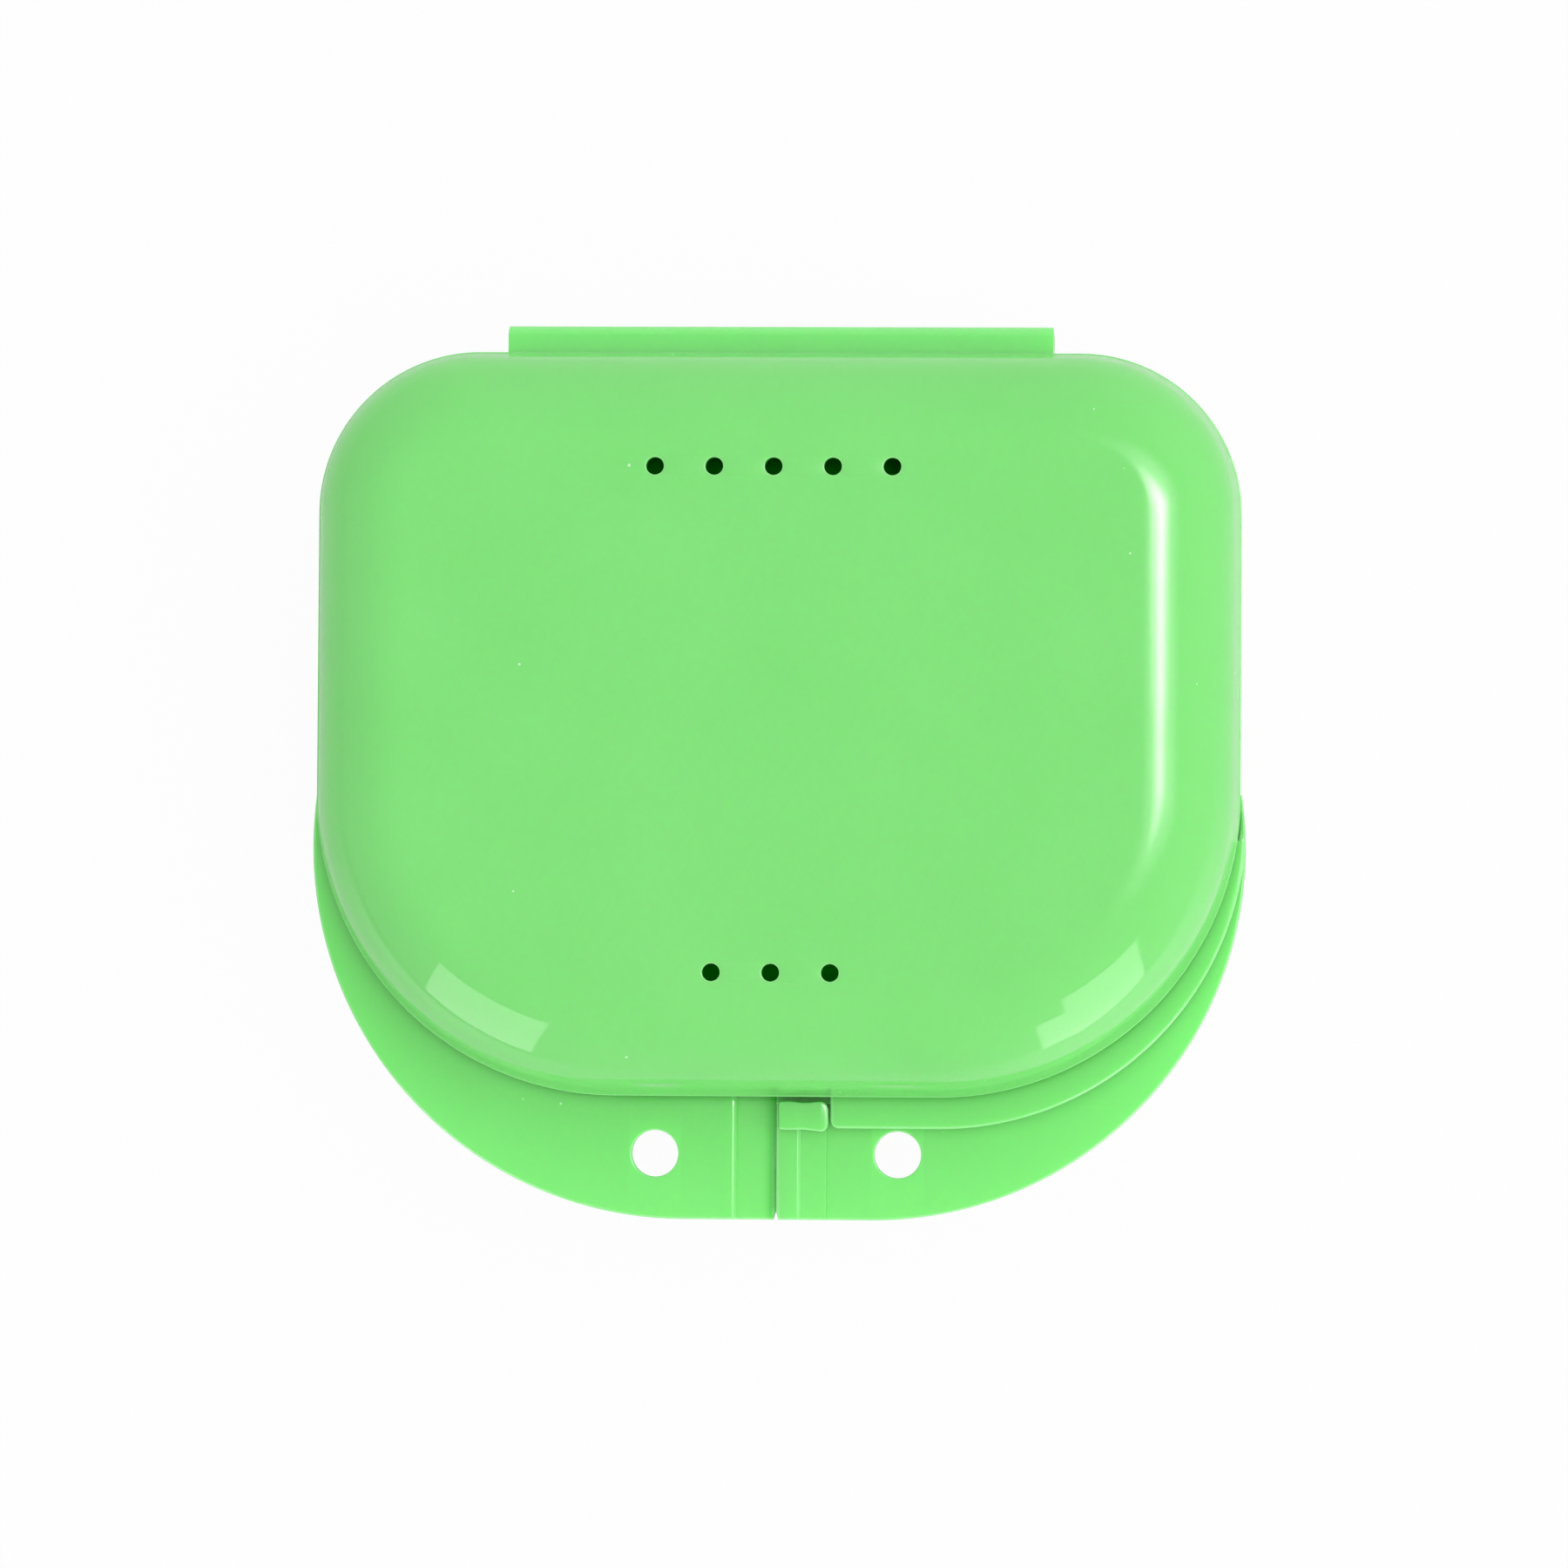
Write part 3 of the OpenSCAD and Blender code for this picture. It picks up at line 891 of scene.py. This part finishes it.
def seen_directly(graph, shares):
    """Largest of the shares that belong to the kinds of a ray, and 0 for light on a surface."""
    path = graph.nodes.new("ShaderNodeLightPath")
    parts = [graph.math("MULTIPLY", path.outputs[name], share) for name, share in shares]
    largest = parts[0]
    for part in parts[1:]:
        largest = graph.math("MAXIMUM", largest, part)
    return largest


def toward(turn, rise):
    """Direction at some degrees round from the front to the right and some degrees up."""
    turn, rise = math.radians(turn), math.radians(rise)
    return Vector((math.sin(turn) * math.cos(rise), -math.cos(turn) * math.cos(rise), math.sin(rise)))


def soften(data):
    """Lets a round light fade smoothly from its middle to its edge."""
    graph = Graph(data)
    place = graph.nodes.new("ShaderNodeNewGeometry").outputs["Parametric"]
    centred = graph.vector("MULTIPLY_ADD", place, (2, 2, 0), (-1, -1, 0))["Vector"]
    square = graph.vector("DOT_PRODUCT", centred, centred)["Value"]
    inward = graph.math("SUBTRACT", 1, square)
    inward.node.use_clamp = True
    graph.feed(graph.nodes["Emission"].inputs["Strength"], graph.math("POWER", inward, FADE_POWER))


def add_light(settings, is_round=False, fills=False):
    """Flat light that either fills, so that it lights surfaces, or shows only as gloss."""
    name, spot, turn, rise, distance, face_turn, face_rise, roll, width, height, radiance = settings
    data = bpy.data.lights.new(name, "AREA")
    data.shape = "ELLIPSE" if is_round else "RECTANGLE"
    data.size = width
    data.size_y = height
    data.energy = radiance * math.pi * width * height * (math.pi / 4 if is_round else 1)
    if is_round:
        soften(data)
    light = bpy.data.objects.new(name, data)
    facing = toward(face_turn, face_rise).to_track_quat("Z", "Y").to_matrix().to_4x4()
    place = Matrix.Translation(spot + toward(turn, rise) * distance)
    light.matrix_world = place @ facing @ Matrix.Rotation(math.radians(roll), 4, "Z")
    light.visible_camera = False
    light.visible_diffuse = fills
    light.visible_glossy = not fills
    bpy.context.scene.collection.objects.link(light)


def add_lights():
    """Key light, cards and bright table for the gloss, fills for the surfaces, and a white surround."""
    for settings in ROUND_LIGHTS:
        add_light(settings, is_round=True)
    for settings in CARDS:
        add_light(settings)
    for settings in FILLS:
        add_light(settings, fills=True)
    world = bpy.data.worlds.new("surround")
    bpy.context.scene.world = world
    graph = Graph(world)
    strength = graph.remap(seen_directly(graph, SURROUND_SEEN), 0, 1, WORLD_STRENGTH, 1)
    graph.feed(graph.nodes["Background"].inputs["Strength"], strength)
    graph.feed(graph.nodes["Background"].inputs["Color"], WHITE)


# Floor
FLOOR_HALF = 3.0
FLOOR_COLOUR = (0.8, 0.8, 0.8, 1)
FLOOR_ROUGH = 0.9


def add_floor():
    """White floor that the case stands on, which keeps a faint shadow of it."""
    bm = bmesh.new()
    corners = ((-1, -1), (1, -1), (1, 1), (-1, 1))
    bm.faces.new([bm.verts.new((x * FLOOR_HALF, y * FLOOR_HALF, 0)) for x, y in corners])
    mesh = bpy.data.meshes.new("floor")
    bm.to_mesh(mesh)
    bm.free()
    floor = bpy.data.objects.new("floor", mesh)
    bpy.context.scene.collection.objects.link(floor)
    material = bpy.data.materials.new("floor")
    graph = Graph(material)
    sheet = graph.nodes["Principled BSDF"]
    settings = (("Base Color", FLOOR_COLOUR), ("Roughness", FLOOR_ROUGH), ("Specular IOR Level", 0))
    for name, value in settings:
        graph.feed(sheet.inputs[name], value)
    glow = graph.nodes.new("ShaderNodeEmission")
    blend = graph.nodes.new("ShaderNodeMixShader")
    sources = (seen_directly(graph, FLOOR_SEEN), sheet.outputs["BSDF"], glow.outputs["Emission"])
    for socket, source in zip(blend.inputs, sources):
        graph.feed(socket, source)
    graph.feed(graph.nodes["Material Output"].inputs["Surface"], blend.outputs["Shader"])
    mesh.materials.append(material)


plastic = plastic_material()

lid = finish_piece(make_half("lid_half", True), False, plastic)
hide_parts("lid_shell", "lid_flange")
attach(lid, "lid")

base = finish_piece(make_half("base_half", False), True, plastic)
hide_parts("base_shell", "base_flange")
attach(base, "base")

base_tab = finish_piece(make_mesh("base_tab", catch), False, plastic)
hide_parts("base_catch")
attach(base_tab, "base_catch")

lid_tab = finish_piece(make_mesh("lid_tab", catch), True, plastic)
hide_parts("lid_catch")
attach(lid_tab, "lid_catch")

# Upper and lower bands of the folding strap, placed in the case with their CAD nodes hidden
for name, side, body, nodes in (("upper_fold", 1, "lid", ("lid_leaf", "hinge_strap")),
                                ("lower_fold", -1, "base", ("base_leaf",))):
    band = finish_piece(make_mesh(name, fold), side < 0, plastic, mark_fold)
    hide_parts(*nodes)
    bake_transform(band)

add_floor()
add_lights()
add_camera()
bpy.context.scene.view_settings.view_transform = "Standard"
